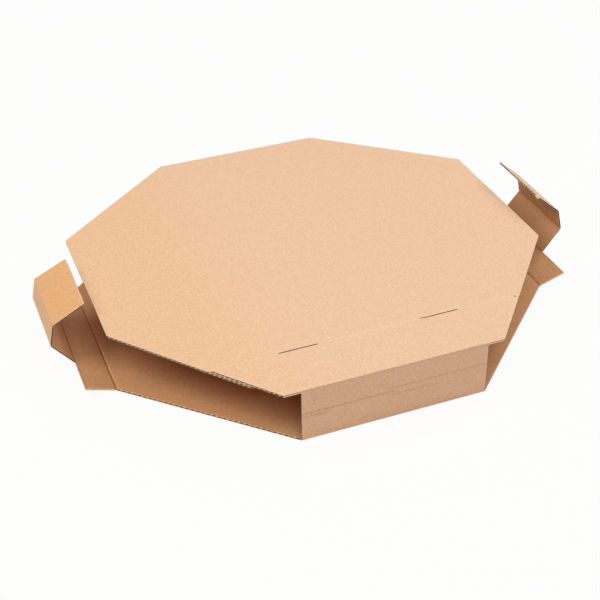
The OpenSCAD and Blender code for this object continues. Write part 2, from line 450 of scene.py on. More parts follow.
def lid_half_w(y):
    """Half the lid's width, and the front flap's that lies on it."""
    front = min(1, (y + HALF_D) / LID_FRONT_CORNER_D)
    rear = min(1, (HALF_D - y) / LID_REAR_CORNER_D)
    return min(
        LID_FRONT_HALF_W + (HALF_W - LID_FRONT_HALF_W) * front,
        WALL_HALF_W + (HALF_W - WALL_HALF_W) * rear,
    )


def sheet_half_w(s):
    """Half the sheet's width at a place along it, from the front wall over the base to the lid."""
    if FRONT_FOLD <= s <= REAR_FOLD:
        return base_half_w(s)
    if s > TOP_FOLD:
        return lid_half_w(HALF_D + TOP_FOLD - s)
    return WALL_HALF_W


def folded(s, inset, radius):
    """The point (0, y, z) at a place along the folded sheet and inset from its outer face, and the way in."""
    inwards = (Y_AXIS, Z_AXIS, -Y_AXIS, -Z_AXIS)
    corners = (
        (FRONT_FOLD, Vector((0, -HALF_D, 0))),
        (REAR_FOLD, Vector((0, HALF_D, 0))),
        (TOP_FOLD, Vector((0, HALF_D, LID_TOP))),
    )
    reach = inset + radius
    for leg, (fold, corner) in enumerate(corners):
        if abs(s - fold) < reach:
            turn = (s - fold + reach) / (2 * reach) * math.pi / 2
            inward = inwards[leg] * math.cos(turn) + inwards[leg + 1] * math.sin(turn)
            return corner + (inwards[leg] + inwards[leg + 1]) * reach - inward * radius, inward
    if s < FRONT_FOLD:
        return Vector((0, -HALF_D + inset, FRONT_FOLD - s)), Y_AXIS
    if s < REAR_FOLD:
        return Vector((0, s, inset)), Z_AXIS
    if s < TOP_FOLD:
        return Vector((0, HALF_D - inset, s - REAR_FOLD)), -Y_AXIS
    y = HALF_D + TOP_FOLD - s
    return Vector((0, y, LID_TOP - inset + lid_bow(y))), -Z_AXIS


def lid_bow(y):
    """How far the lid stands above its level plane."""
    share = (y - FLAP_REAR) / (HALF_D - BOARD - INNER_BEND - FLAP_REAR)
    return LID_BOW * math.sin(math.pi * min(1, max(0, share)))


def lid_place(y):
    """Where a line of the lid lies along the sheet."""
    return TOP_FOLD + HALF_D - y


def side_bend(side, part):
    """How far a side panel is bent up at rest from the one before it."""
    return math.radians(-JOINTS[f"{side}_{part}_fold"]["range_deg"][0])


SLOT_X = [
    TAB_SPACING / 2 - TAB_W / 2 - SLOT_CLEAR,
    TAB_SPACING / 2 + TAB_W / 2 + SLOT_CLEAR,
]
SLOT_Y = [FLAP_REAR - BOARD - SLOT_CLEAR, FLAP_REAR + SLOT_GAP]
# Which of a row's columns meet its ends and the slots' ends, as shares of its half width
SLOT_STEPS = [-1, -0.625, -0.4375, 0.4375, 0.625, 1]


def shell_sides(s, half_w):
    """Positions along X of a row's points, which meet the slots' ends where the row passes them."""
    even = spread(-half_w, half_w, COLUMNS)
    if s < lid_place(SLOT_Y[1]) - EDGE:
        return even
    marks = [-half_w, -SLOT_X[1], -SLOT_X[0], SLOT_X[0], SLOT_X[1], half_w]
    row = []
    for step in spread(-1, 1, COLUMNS):
        i = max(k for k, mark in enumerate(SLOT_STEPS[:-1]) if mark <= step)
        share = (step - SLOT_STEPS[i]) / (SLOT_STEPS[i + 1] - SLOT_STEPS[i])
        row.append(marks[i] + (marks[i + 1] - marks[i]) * share)
    return row


def in_slot(s_near, s_far, x_near, x_far):
    """Whether a cell of the lid lies in one of the slots."""
    s, x = (s_near + s_far) / 2, abs(x_near + x_far) / 2
    return lid_place(SLOT_Y[1]) < s < lid_place(SLOT_Y[0]) and SLOT_X[0] < x < SLOT_X[1]


def crease_lift(s, x):
    """How far the outer liner stands out along the creases of the front and rear walls."""
    if FRONT_FOLD <= s <= REAR_FOLD or s > TOP_FOLD:
        return 0
    z = FRONT_FOLD - s if s < FRONT_FOLD else s - REAR_FOLD
    along = x if s < FRONT_FOLD else -x
    for start, end, height, _ in CREASES:
        for row, lift in CREASE_ROWS:
            if start <= along <= end and abs(z - height - row) < EDGE:
                return lift
    return 0


def shell_rows(reach, cap):
    """Places along the sheet where the shell's liners have a row of points."""
    rows = [FRONT_FOLD - BOX_H + FOLD, lid_place(TONGUE)]
    for fold in (FRONT_FOLD, REAR_FOLD, TOP_FOLD):
        rows += spread(fold - reach, fold + reach, CORNER_STEPS)
    for height in sorted({height for _, _, height, _ in CREASES}):
        for row, _ in CREASE_ROWS:
            rows += [FRONT_FOLD - height - row, REAR_FOLD + height + row]
    rows += [-SIDE_Y - cap * CORNER_SLOPE, SIDE_Y + cap * CORNER_SLOPE]
    rows += spread(-SIDE_Y, SIDE_Y, BASE_STEPS)
    rows += [lid_place(y) for y in (HALF_D - LID_REAR_CORNER_D, -HALF_D + LID_FRONT_CORNER_D)]
    rows += [lid_place(y) for y in SLOT_Y]
    rows += [lid_place(y) for y in spread(FLAP_REAR, HALF_D - BOARD - INNER_BEND, BOW_STEPS)][:-1]
    return sorted(rows)


def shell():
    """Base, front wall, rear wall and lid."""
    board = Board()

    def liner(inset, radius, depth, cap, paint, top):
        rows = [s for s in shell_rows(inset + radius, cap) if s >= top]
        rows = sorted(set(rows + [top]))
        half = [
            min(sheet_half_w(s), HALF_W - cap) if FRONT_FOLD < s < REAR_FOLD else sheet_half_w(s)
            for s in rows
        ]
        sides = [shell_sides(s, h) for s, h in zip(rows, half)]
        stops = [folded(s, inset, radius) for s in rows]
        near, far, uv = [], [], []
        for s, side, (point, inward) in zip(rows, sides, stops):
            for x in side:
                lift = crease_lift(s, x) if paint == OUTER else 0
                spot = point + X_AXIS * x - inward * lift
                near.append(spot)
                far.append(spot + inward * depth)
                uv.append((x, s))
        width = COLUMNS + 1
        faces = [
            [i * width + j, i * width + j + 1, (i + 1) * width + j + 1, (i + 1) * width + j]
            for i in range(len(rows) - 1)
            for j in range(COLUMNS)
            if not in_slot(rows[i], rows[i + 1], sides[i][j], sides[i][j + 1])
        ]

        def joined(a, b):
            """The edges that the fold strips meet, but for the worn lip along the left one."""
            if a < width and b < width:
                return True
            places = [rows[i // width] for i in (a, b)]
            if max(abs(s) for s in places) > SIDE_Y + EDGE + cap:
                return False
            return not (near[a].x < 0 and paint == INNER and max(places) < WORN_LIP_END)

        board.layer(near, far, uv, faces, paint, joined)

    bend = side_bend("left", "wall")
    inner_cap = FOLD + BOARD * math.tan(bend / 2)
    liner(0, BEND, LINER, FOLD, OUTER, FRONT_FOLD - BOX_H + FOLD)
    liner(BOARD, INNER_BEND, -LINER, inner_cap, INNER, FRONT_FOLD - BOX_H + FOLD + BOARD)

    def flutes(start, end, half_w):
        rows = wave_rows(start, end)
        board.ribbon(
            [folded(s, wave(s) - MEDIUM / 2 - glue(s), 0) for s in rows],
            X_AXIS,
            [half_w(s) for s in rows],
            [MEDIUM + glue(s) for s in rows],
            lambda i, x: (x, rows[i]),
            HOLLOW_SHADE,
        )

    crushed = BOARD + INNER_BEND

    def sheet(s):
        return -sheet_half_w(s), sheet_half_w(s)

    def base(s):
        half = min(base_half_w(s), HALF_W - inner_cap)
        return -half, half

    flutes(FRONT_FOLD - BOX_H + BOARD + FOLD, FRONT_FOLD - crushed, sheet)
    flutes(FRONT_FOLD + CORNER_GAP, REAR_FOLD - CORNER_GAP, base)
    flutes(REAR_FOLD + crushed, TOP_FOLD - crushed, sheet)
    slot_start, slot_end = lid_place(SLOT_Y[1]), lid_place(SLOT_Y[0])
    flutes(TOP_FOLD + CORNER_GAP, slot_start, sheet)
    flutes(slot_start, slot_end, lambda s: (-SLOT_X[0], SLOT_X[0]))
    flutes(slot_start, slot_end, lambda s: (-sheet_half_w(s), -SLOT_X[1]))
    flutes(slot_start, slot_end, lambda s: (SLOT_X[1], sheet_half_w(s)))
    flutes(slot_end, lid_place(TONGUE), sheet)
    obj = board.make("shell_board")
    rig.ride(obj, "shell")
    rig.replaces(obj, "shell")


def flap_flat(y):
    """Where a line of the front flap lies along the sheet."""
    return FRONT_FOLD - BOX_H - (y + HALF_D)


def front_flap():
    """The strip over the front wall, with its two lock tabs."""
    board = Board()
    tabs = [-TAB_SPACING / 2, TAB_SPACING / 2]

    def outline(front, rear):
        """Outline with a notch of those depths at the hinge and at each tab's bend."""
        points = [
            (-LID_FRONT_HALF_W, -HALF_D),
            (-WALL_HALF_W, -HALF_D),
            (-WALL_HALF_W, -HALF_D + front),
            (WALL_HALF_W, -HALF_D + front),
            (WALL_HALF_W, -HALF_D),
            (LID_FRONT_HALF_W, -HALF_D),
            (lid_half_w(FLAP_REAR), FLAP_REAR),
        ]
        for tab in reversed(tabs):
            points += [
                (tab + TAB_W / 2, FLAP_REAR),
                (tab + TAB_W / 2, FLAP_REAR - rear),
                (tab - TAB_W / 2, FLAP_REAR - rear),
                (tab - TAB_W / 2, FLAP_REAR),
            ]
        return points + [(-lid_half_w(FLAP_REAR), FLAP_REAR)]

    def place(x, y, depth):
        return Vector((x, y, BOX_H - depth))

    def flat(x, y):
        return x, flap_flat(y)

    def liner(front, rear, low, high, paint):
        meets = (-HALF_D + front, FLAP_REAR - rear)
        board.plate(
            outline(front, rear), place, low, high, flat, paint, lambda p, q: p[1] == q[1] in meets
        )

    liner(FOLD, BEND, 0, LINER, OUTER)
    liner(FOLD + BOARD, BOARD + INNER_BEND, BOARD, BOARD - LINER, INNER)

    def flutes(start, end, sides):
        rows = wave_rows(start, end)
        board.ribbon(
            [
                (Vector((0, y, BOX_H - wave(flap_flat(y)) + MEDIUM / 2 + glue(flap_flat(y)))), -Z_AXIS)
                for y in rows
            ],
            X_AXIS,
            [sides(y) for y in rows],
            [MEDIUM + glue(flap_flat(y)) for y in rows],
            lambda i, x: (x, flap_flat(rows[i])),
            HOLLOW_SHADE,
        )

    hinge_end = -HALF_D + FOLD + BOARD
    tab_start = FLAP_REAR - BOARD - INNER_BEND
    flutes(-HALF_D, hinge_end, lambda y: (-lid_half_w(y), -WALL_HALF_W))
    flutes(-HALF_D, hinge_end, lambda y: (WALL_HALF_W, lid_half_w(y)))
    flutes(hinge_end, tab_start, lambda y: (-lid_half_w(y), lid_half_w(y)))
    edge_x = [x for tab in tabs for x in (tab - TAB_W / 2, tab + TAB_W / 2)]
    flutes(tab_start, FLAP_REAR, lambda y: (-lid_half_w(y), edge_x[0]))
    flutes(tab_start, FLAP_REAR, lambda y: (edge_x[1], edge_x[2]))
    flutes(tab_start, FLAP_REAR, lambda y: (edge_x[3], lid_half_w(y)))
    for tab in tabs:
        lock_tab(board, tab)
    obj = board.make("front_flap_board")
    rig.ride(obj, "front_flap")
    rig.replaces(obj, "front_flap")


def lock_tab(board, middle):
    """A tab bent down from the flap's rear edge."""
    corner = Vector((middle, FLAP_REAR, BOX_H))
    length = BOX_H - FLAP_LOW.z

    def liner(inset, radius, depth, paint):
        reach = inset + radius
        stops, places = [], []
        for turn in spread(0, math.pi / 2, ARC_STEPS):
            inward = -Z_AXIS * math.cos(turn) - Y_AXIS * math.sin(turn)
            stops.append((corner - (Y_AXIS + Z_AXIS) * reach - inward * radius, inward))
            places.append(reach * turn)
        for down in (length - TAB_CHAMFER, length):
            stops.append((corner - Y_AXIS * inset - Z_AXIS * down, -Y_AXIS))
            places.append(down)
        half = [TAB_W / 2] * (len(stops) - 1) + [TAB_W / 2 - TAB_CHAMFER]
        board.ribbon(
            stops,
            X_AXIS,
            [(-h, h) for h in half],
            depth,
            lambda i, x: (middle + x, flap_flat(FLAP_REAR) - places[i]),
            paint,
            (True, False),
        )

    liner(0, BEND, LINER, OUTER)
    liner(BOARD, INNER_BEND, -LINER, INNER)
    rows = wave_rows(BOARD + INNER_BEND, length)
    halves = [TAB_W / 2 - max(0, down - length + TAB_CHAMFER) for down in rows]
    board.ribbon(
        [(corner - Z_AXIS * down - Y_AXIS * (wave(down) - MEDIUM / 2), -Y_AXIS) for down in rows],
        X_AXIS,
        [(-half, half) for half in halves],
        MEDIUM,
        lambda i, x: (middle + x, flap_flat(FLAP_REAR) - rows[i]),
        HOLLOW_SHADE,
    )


class SidePanel:
    """One panel of a side flap at rest: its place, its bend at each end and its half lengths."""

    def __init__(self, side, part, turned, flat_start, width, next_bend):
        sign = 1 if side == "right" else -1
        x, _, z = JOINTS[f"{side}_{part}_fold"]["pos_m"]
        low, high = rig.box(f"{side}_{part}_panel")
        self.side, self.part, self.sign = side, part, sign
        self.bend = side_bend(side, part)
        self.angle = turned + self.bend
        self.pivot = Vector((x, 0, z))
        self.along = Vector((sign * math.cos(self.angle), 0, math.sin(self.angle)))
        self.above = Vector((-sign * math.sin(self.angle), 0, math.cos(self.angle)))
        self.flat_start = flat_start
        self.width = width
        self.next_bend = next_bend
        self.near_y = high.y
        self.far_y = high.y

    def place(self, along, y, above):
        return self.pivot + self.along * along + Y_AXIS * y + self.above * above

    def flat(self, along, y):
        return self.sign * (HALF_W + self.flat_start + along), y

    def half_y(self, along):
        return self.near_y + (self.far_y - self.near_y) * along / self.width


PARTS = ("wall", "ledge", "return", "tuck")


def side_panels(side):
    """The four panels of a side flap, from the fold on the base outwards."""
    pivots = [Vector(JOINTS[f"{side}_{part}_fold"]["pos_m"]) for part in PARTS]
    widths = [(b - a).length for a, b in zip(pivots, pivots[1:])] + [TUCK_W]
    bends = [side_bend(side, part) for part in PARTS] + [None]
    panels, turned, flat_start = [], 0, 0
    for i, part in enumerate(PARTS):
        panel = SidePanel(side, part, turned, flat_start, widths[i], bends[i + 1])
        panels.append(panel)
        turned, flat_start = panel.angle, flat_start + widths[i]
    for panel, following in zip(panels[1:], panels[2:]):
        panel.far_y = following.near_y
    panels[3].far_y = panels[3].near_y - TUCK_TAPER
    return panels


def strip_end(bend, depth):
    """How far from a fold's axis the bending strip ends, at a depth below the outer face."""
    return FOLD + depth * math.tan(bend / 2)


def panel_outline(panel, depth, following):
    """Outline of a side panel's liner at a depth below the outer face, as (along, y)."""
    near = strip_end(panel.bend, depth)
    width = panel.width
    if panel.next_bend is None:
        arc = []
        for turn in spread(0, math.pi / 2, ARC_STEPS):
            arc.append((
                width - CORNER_R + CORNER_R * math.sin(turn),
                -panel.far_y + CORNER_R - CORNER_R * math.cos(turn),
            ))
        half = [(near, -panel.half_y(near))] + arc
    else:
        far = width - strip_end(panel.next_bend, depth)
        half = [(near, -panel.half_y(near))]
        if following.near_y < panel.far_y - EDGE:
            half += [(width, -panel.far_y), (width, -following.near_y)]
            half += [(far, -following.near_y)]
        else:
            half += [(far, -panel.half_y(far))]
    return half + [(u, -y) for u, y in reversed(half)]


def side_panel(panel, following):
    """One panel of a side flap."""
    board = Board()
    for low, high, paint in ((0, LINER, OUTER), (SIDE_BOARD, SIDE_BOARD - LINER, INNER)):
        meets = [strip_end(panel.bend, low)]
        if following is not None:
            meets.append(panel.width - strip_end(panel.next_bend, low))
        outline = panel_outline(panel, low, following)

        def joined(p, q, meets=meets):
            return p[0] == q[0] and p[0] in meets

        board.plate(outline, panel.place, low, high, panel.flat, paint, joined)
    near, far = strip_end(panel.bend, SIDE_BOARD), panel.width - DRAWN_BACK
    if panel.next_bend is not None:
        far = panel.width - strip_end(panel.next_bend, SIDE_BOARD)

    def flutes(start, end, sides):
        rows = wave_rows(start, end)
        board.ribbon(
            [
                (panel.place(0, y, wave(y, SIDE_BOARD) - MEDIUM / 2 - glue(y, SIDE_BOARD)), panel.above)
                for y in rows
            ],
            panel.along,
            [sides(y) for y in rows],
            [MEDIUM + glue(y, SIDE_BOARD) for y in rows],
            lambda i, along: panel.flat(along, rows[i]),
            HOLLOW_SHADE,
        )

    if following is not None and following.near_y < panel.far_y - EDGE:
        flutes(-panel.far_y, -following.near_y, lambda y: (near, panel.width))
        flutes(-following.near_y, following.near_y, lambda y: (near, far))
        flutes(following.near_y, panel.far_y, lambda y: (near, panel.width))
    else:
        flutes(DRAWN_BACK - panel.far_y, panel.far_y - DRAWN_BACK, lambda y: (near, far))
    obj = board.make(f"{panel.side}_{panel.part}_board")
    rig.ride(obj, f"{panel.side}_{panel.part}")
    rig.replaces(obj, f"{panel.side}_{panel.part}_panel")


def bezier(a, b, c, t):
    return a * (1 - t) ** 2 + b * 2 * t * (1 - t) + c * t * t


def fold_strip(name, bodies, pivot, before, after, insides, boards, bend, across, half_y, flat):
    """The board along a hinged fold: the outer liner bends, the inner one dips into the crease.

    before and after point along the two panels, both away from the first panel, insides are
    the directions from their outer faces inwards, boards their thicknesses, half_y gives the
    half length of the strip and flat its place on the sheet at a distance from the axis.
    """
    board = Board()
    middle = (insides[0] + insides[1]).normalized()

    def liner(path, places, inwards, depth, paint):
        board.ribbon(
            list(zip(path, inwards)),
            across,
            [(-half_y(d), half_y(d)) for d in places],
            depth,
            lambda i, side: flat(places[i], side),
            paint,
            (True, True),
        )

    def turned(share):
        return (insides[0] * (1 - share) + insides[1] * share).normalized()

    start, end = pivot - before * FOLD, pivot + after * FOLD
    shares = spread(0, 1, STRIP_STEPS)
    outer = [bezier(start, pivot, end, t) for t in shares]
    liner(outer, [FOLD * (2 * t - 1) for t in shares], [turned(t) for t in shares], LINER, OUTER)
    reaches = [strip_end(bend, thickness) for thickness in boards]
    valley = bezier(start, pivot, end, 0.5) + middle * (2 * LINER + CRUSHED)
    near = pivot - before * reaches[0] + insides[0] * boards[0]
    far = pivot + after * reaches[1] + insides[1] * boards[1]
    half_way = spread(0, 1, ARC_STEPS)
    down = [bezier(near, near + before * reaches[0] / 2, valley, t) for t in half_way]
    up = [bezier(valley, far - after * reaches[1] / 2, far, t) for t in half_way[1:]]
    places = [reaches[0] * (t - 1) for t in half_way] + [reaches[1] * t for t in half_way[1:]]
    inwards = [turned(share) for share in spread(0, 1, 2 * ARC_STEPS)]
    liner(down + up, places, inwards, -LINER, INNER)
    obj = board.make(name)
    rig.blend(obj, *bodies, start, end)


def side_folds(side, panels):
    """The four hinged folds of a side flap."""
    sign = panels[0].sign
    before, inside, body, board = Vector((sign, 0, 0)), Z_AXIS, "shell", BOARD
    for i, panel in enumerate(panels):
        earlier = panels[i - 1] if i else None

        def half_y(distance, panel=panel, earlier=earlier):
            if distance >= 0:
                return panel.half_y(distance)
            if earlier is None:
                return panel.near_y - distance * CORNER_SLOPE
            if earlier.far_y > panel.near_y + EDGE:
                return panel.near_y
            return earlier.half_y(earlier.width + distance)

        fold_strip(
            f"{side}_{panel.part}_fold_paper",
            (body, f"{side}_{panel.part}"),
            panel.pivot,
            before,
            panel.along,
            (inside, panel.above),
            (board, SIDE_BOARD),
            panel.bend,
            Y_AXIS,
            half_y,
            panel.flat,
        )
        before, inside, board = panel.along, panel.above, SIDE_BOARD
        body = f"{side}_{panel.part}"


def torn_bump(panel):
    """A small lump of torn paper on the right tuck panel's free edge."""
    data = bpy.data.meshes.new("torn_bump")
    shape = bmesh.new()
    bmesh.ops.create_icosphere(shape, subdivisions=3, radius=1)
    for point in shape.verts:
        rough = 1 + BUMP_UNEVEN[0] * math.sin(5 * point.co.x + 3 * point.co.z)
        rough += BUMP_UNEVEN[1] * math.sin(7 * point.co.y)
        along, y, above = (size * value * rough for size, value in zip(BUMP_SIZE, point.co))
        point.co = panel.place(panel.width - BUMP_BACK + along, BUMP_Y + y, SIDE_BOARD / 2 + above)
    shape.to_mesh(data)
    shape.free()
    # The lump takes the outer rim's paint, lighter as painted highlight
    data.materials.append(PAINTS[OUTER_RIM])
    sheet = data.uv_layers.new(name="sheet")
    for loop, spot in zip(data.loops, sheet.data):
        point = data.vertices[loop.vertex_index].co
        spot.uv = panel.flat(panel.width + point.z, point.y)
    for polygon in data.polygons:
        polygon.use_smooth = True
    obj = bpy.data.objects.new("right_tuck_torn_bump", data)
    bpy.context.scene.collection.objects.link(obj)
    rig.slot(obj, "kraft_board")
    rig.ride(obj, "right_tuck")


def front_fold():
    """The hinged fold between the front wall and the front flap."""
    fold_strip(
        "front_flap_fold_paper",
        ("shell", "front_flap"),
        Vector((0, -HALF_D, BOX_H)),
        Z_AXIS,
        Y_AXIS,
        (Y_AXIS, -Z_AXIS),
        (BOARD, BOARD),
        math.pi / 2,
        X_AXIS,
        lambda distance: WALL_HALF_W,
        lambda distance, x: (x, FRONT_FOLD - BOX_H - distance),
    )


def camera():
    """The photograph's camera."""
    a, e, roll = VIEW_AZIMUTH, VIEW_ELEVATION, VIEW_ROLL
    ahead = Vector((math.sin(a) * math.cos(e), math.cos(a) * math.cos(e), -math.sin(e)))
    level_right = ahead.cross(Z_AXIS).normalized()
    level_up = level_right.cross(ahead)
    right = level_right * math.cos(roll) + level_up * math.sin(roll)
    up = level_up * math.cos(roll) - level_right * math.sin(roll)
    data = bpy.data.cameras.new("camera")
    data.sensor_width = SENSOR
    data.lens = LENS
    data.clip_start, data.clip_end = NEAREST, FARTHEST
    obj = bpy.data.objects.new("camera", data)
    turn = Matrix((right, up, -ahead)).transposed().to_4x4()
    obj.matrix_world = Matrix.Translation(CAMERA_AT) @ turn
    bpy.context.scene.collection.objects.link(obj)
    bpy.context.scene.camera = obj


def seen_directly(tree):
    """A factor that is 1 for what the camera, a reflection or glass sees."""
    path = tree.nodes.new("ShaderNodeLightPath")
    value = path.outputs["Is Camera Ray"]
    for ray in ("Is Glossy Ray", "Is Transmission Ray"):
        either = tree.nodes.new("ShaderNodeMath")
        either.operation = "MAXIMUM"
        tree.links.new(value, either.inputs[0])
        tree.links.new(path.outputs[ray], either.inputs[1])
        value = either.outputs[0]
    return value


def world():
    """A white background that casts no light of its own."""
    made = bpy.data.worlds.new("studio")
    made.use_nodes = True
    bpy.context.scene.world = made
    tree = made.node_tree
    dark = tree.nodes["Background"]
    dark.inputs["Strength"].default_value = 0
    white = tree.nodes.new("ShaderNodeBackground")
    white.inputs["Color"].default_value = (1, 1, 1, 1)
    white.inputs["Strength"].default_value = 1
    mix = tree.nodes.new("ShaderNodeMixShader")
    tree.links.new(seen_directly(tree), mix.inputs[0])
    tree.links.new(dark.outputs[0], mix.inputs[1])
    tree.links.new(white.outputs[0], mix.inputs[2])
    tree.links.new(mix.outputs[0], tree.nodes["World Output"].inputs["Surface"])


def soft_box(name, azimuth, elevation, power):
    """A square light that faces the object."""
    data = bpy.data.lights.new(name, "AREA")
    data.shape = "SQUARE"
    data.size = LIGHT_SIZE
    data.energy = power
    obj = bpy.data.objects.new(name, data)
    a, e = math.radians(azimuth), math.radians(elevation)
    away = Vector((math.cos(e) * math.cos(a), math.cos(e) * math.sin(a), math.sin(e)))
    obj.location = away * LIGHT_DISTANCE
    obj.rotation_mode = "QUATERNION"
    obj.rotation_quaternion = (-away).to_track_quat("-Z", "Y")
    bpy.context.scene.collection.objects.link(obj)


def floor():
    """A plain pale floor that shows white, with the box's shadow kept."""
    half = FLOOR_HALF
    data = bpy.data.meshes.new("floor")
    corners = [(-half, -half, 0), (half, -half, 0), (half, half, 0), (-half, half, 0)]
    data.from_pydata(corners, [], [(0, 1, 2, 3)])
    obj = bpy.data.objects.new("floor", data)
    obj.location.z = -FLOOR_DROP
    bpy.context.scene.collection.objects.link(obj)
    paint = bpy.data.materials.new("floor_paint")
    paint.use_nodes = True
    tree = paint.node_tree
    plain = tree.nodes["Principled BSDF"]
    plain.inputs["Base Color"].default_value = FLOOR_COLOUR
    plain.inputs["Roughness"].default_value = FLOOR_ROUGHNESS
    white = tree.nodes.new("ShaderNodeEmission")
    white.inputs["Color"].default_value = (1, 1, 1, 1)
    white.inputs["Strength"].default_value = 1
    share = tree.nodes.new("ShaderNodeMath")
    share.operation = "MULTIPLY"
    tree.links.new(seen_directly(tree), share.inputs[0])
    place = tree.nodes.new("ShaderNodeTexCoord")
    away = tree.nodes.new("ShaderNodeVectorMath")
    away.operation = "LENGTH"
    tree.links.new(place.outputs["Object"], away.inputs[0])
    fade = tree.nodes.new("ShaderNodeMapRange")
    fade.interpolation_type = "SMOOTHSTEP"
    ends = (("From Min", FLOOR_NEAR), ("From Max", FLOOR_FAR), ("To Min", FLOOR_WHITE), ("To Max", 1))
    for name, value in ends:
        fade.inputs[name].default_value = value
    tree.links.new(away.outputs["Value"], fade.inputs["Value"])
    tree.links.new(fade.outputs[0], share.inputs[1])
    mix = tree.nodes.new("ShaderNodeMixShader")
    tree.links.new(share.outputs[0], mix.inputs[0])
    tree.links.new(plain.outputs[0], mix.inputs[1])
    tree.links.new(white.outputs[0], mix.inputs[2])
    tree.links.new(mix.outputs[0], tree.nodes["Material Output"].inputs["Surface"])
    data.materials.append(paint)
    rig.stage(obj)


class Nodes:
    """Short calls for building a material's nodes."""

    def __init__(self, tree):
        self.tree = tree

    def add(self, kind, **settings):
        node = self.tree.nodes.new(kind)
        for key, value in settings.items():
            setattr(node, key, value)
        return node

    def feed(self, socket, value):
        if isinstance(value, bpy.types.NodeSocket):
            self.tree.links.new(value, socket)
        else:
            socket.default_value = value

    def math(self, operation, a, b=0.0):
        node = self.add("ShaderNodeMath", operation=operation)
        self.feed(node.inputs[0], a)
        self.feed(node.inputs[1], b)
        return node.outputs[0]

    def stretched(self, flat, x, y):
        """The sheet's coordinates in millimetres, times x and y."""
        node = self.add("ShaderNodeMapping")
        self.feed(node.inputs["Vector"], flat)
        node.inputs["Scale"].default_value = (x / MM, y / MM, 1)
        return node.outputs[0]

    def mix(self, blend, share, a, b):
        """Two colours, mixed or multiplied."""
        node = self.add("ShaderNodeMix", data_type="RGBA", blend_type=blend)
        self.feed(node.inputs[0], share)
        self.feed(node.inputs[6], a)
        self.feed(node.inputs[7], b)
        return node.outputs[2]

    def ramp(self, value, start, end, low, high):
        """Goes smoothly from low to high as the value goes from start to end."""
        node = self.add("ShaderNodeMapRange", interpolation_type="SMOOTHSTEP")
        self.feed(node.inputs["Value"], value)
        for name, setting in (("From Min", start), ("From Max", end), ("To Min", low), ("To Max", high)):
            node.inputs[name].default_value = setting
        return node.outputs[0]

    def noise(self, place, scale, detail=2.0, roughness=0.5):
        """Noise about 0, from -0.5 to 0.5."""
        node = self.add("ShaderNodeTexNoise")
        self.feed(node.inputs["Vector"], place)
        node.inputs["Scale"].default_value = scale
        node.inputs["Detail"].default_value = detail
        node.inputs["Roughness"].default_value = roughness
        return self.math("SUBTRACT", node.outputs["Fac"], 0.5)


# Where the sheet is a shade more orange: from and to along X, and that colour
DRIFTS = (
    (-0.03, -0.16, (0.88, 0.55, 0.318, 1)),
    (-0.2725, -0.2765, (0.866, 0.47, 0.215, 1)),
)
# Small brown marks on the outer face: place on the sheet, radius, and tone
MARKS = (
    ((0.0763, -0.235), 0.7 * MM, 0.6),
    ((0.1322, -0.2948), 1.3 * MM, 0.4),
)
# Painted shade along X on the outer face, a dark line along the front flap's fold and along each crease: place on the
# sheet, from and to along X, and tone
PAINTED_LINE_W = 1.1 * MM
FOLD_SHADE = (FRONT_FOLD - BOX_H + 0.5 * MM, -WALL_HALF_W, WALL_HALF_W, 0.80)
CREASE_SHADES = [FOLD_SHADE]
for start, end, height, tone in CREASES:
    CREASE_SHADES.append((FRONT_FOLD - height, start, end, tone))
    CREASE_SHADES.append((REAR_FOLD + height, -end, -start, tone))
# From the base's fold to the next one, and to the crease half way up the return panel
LEDGE_FOLD = 26.2 * MM
RETURN_CREASE = 64.7 * MM
# Painted shade and highlight along Y on the inner face: place along X, and tone; dark lines of painted shade along
# each flap's two folds nearest the base, and a light line of painted highlight along the crease of the right return
# panel
FOLD_SHADES_AND_HIGHLIGHT = [
    (-HALF_W, 0.62),
    (HALF_W, 0.66),
    (-HALF_W - LEDGE_FOLD, 0.5),
    (HALF_W + LEDGE_FOLD, 0.75),
    (HALF_W + RETURN_CREASE, 1.2),
]
# How strongly a darker spot darkens red, green and blue
WARMTH = (0.8, 1.0, 1.3)
# How softly a painted line begins and ends
PAINTED_LINE_FADE = 4 * MM
# Noise over the sheet in millimetres: scale, detail and roughness
BLOTCH_NOISE = (0.12, 3.0, 0.6)
GRAIN_NOISE = (0.42, 2.0, 0.6)
FIBRE_NOISE = (0.9, 4.0, 0.7)
FIBRE_STRETCH = (0.6, 1.5)
# Roughness of the paper, how far the fibres change it, and its sheen
ROUGHNESS, ROUGHNESS_SWING = 0.82, 0.2
SHEEN = 0.25
# Relief of the paper: the share of fibres, flute lines and grains, its strength and depth
FIBRE_RELIEF, LINE_RELIEF, GRAIN_RELIEF = 0.8, 0.25, 0.8
RELIEF_STRENGTH = 0.6
RELIEF_DEPTH = 0.1 * MM
# How strongly blotches, grain, fibres and flute lines show on each face; the flute lines in the colour are painted
# shade along the flutes' valleys
OUTER_TEXTURE = (0.14, 0.36, 0.7, 0.012)
INNER_TEXTURE = (0.16, 0.42, 0.8, 0.012)
HOLLOW_SHADE_TEXTURE = (0.10, 0.0, 0.40, 0.0)
EDGE_TEXTURE = (0.10, 0.3, 0.50, 0.0)


